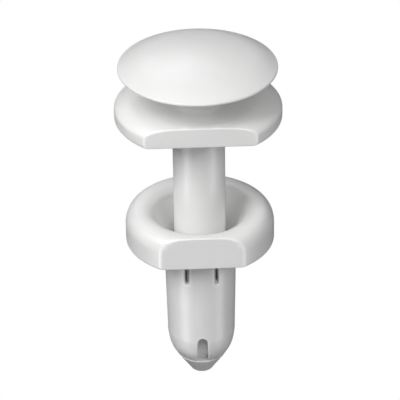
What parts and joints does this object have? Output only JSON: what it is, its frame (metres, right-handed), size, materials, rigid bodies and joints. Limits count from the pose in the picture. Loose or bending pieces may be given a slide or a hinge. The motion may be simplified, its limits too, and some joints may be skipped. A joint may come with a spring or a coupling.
{
  "type": "push-in anchor",
  "caption": "Two-piece nylon push-in anchor: a domed, flanged drive pin standing half out of a collared sleeve whose split nose spreads as the pin is pushed home.",
  "frame": {"origin": "centre of the collar's underside, where the sleeve seats on the panel, on the axis", "axes": "+Z along the axis towards the domed head; the flats of the flange and the collar face -Y; the nose fingers spread along X"},
  "size_m": [0.0186, 0.0181, 0.041],
  "materials": {
    "pin_nylon": "fine satin moulded natural nylon",
    "sleeve_nylon": "fine satin moulded natural nylon"
  },
  "bodies": {
    "sleeve": {"collar": "sleeve_nylon", "barrel": "sleeve_nylon", "front_grip_strip": "sleeve_nylon", "rear_grip_strip": "sleeve_nylon"},
    "pin": {"head_dome": "pin_nylon", "head_neck": "pin_nylon", "pin_flange": "pin_nylon", "pin_stem": "pin_nylon", "drive_wedge": "pin_nylon", "pin_neck": "pin_nylon", "pin_tip": "pin_nylon"},
    "left_finger": {"left_finger": "sleeve_nylon"},
    "right_finger": {"right_finger": "sleeve_nylon"}
  },
  "joints": [
    {"name": "pin_drive", "type": "slide", "parent": "sleeve", "child": "pin", "axis": [0, 0, 1], "range_m": [-0.01158, 0.0003]},
    {"name": "left_finger_spread", "type": "hinge", "parent": "sleeve", "child": "left_finger", "pos_m": [-0.00383, 0, -0.01135], "axis": [0, 1, 0], "range_deg": [-1.5, 21.5]},
    {"name": "right_finger_spread", "type": "hinge", "parent": "sleeve", "child": "right_finger", "pos_m": [0.00383, 0, -0.01135], "axis": [0, -1, 0], "range_deg": [-1.5, 21.5]}
  ],
  "couplings": [
    {"joint": "left_finger_spread", "follows": "pin_drive", "rad_per_m": -30.099},
    {"joint": "right_finger_spread", "follows": "pin_drive", "rad_per_m": -30.099}
  ]
}
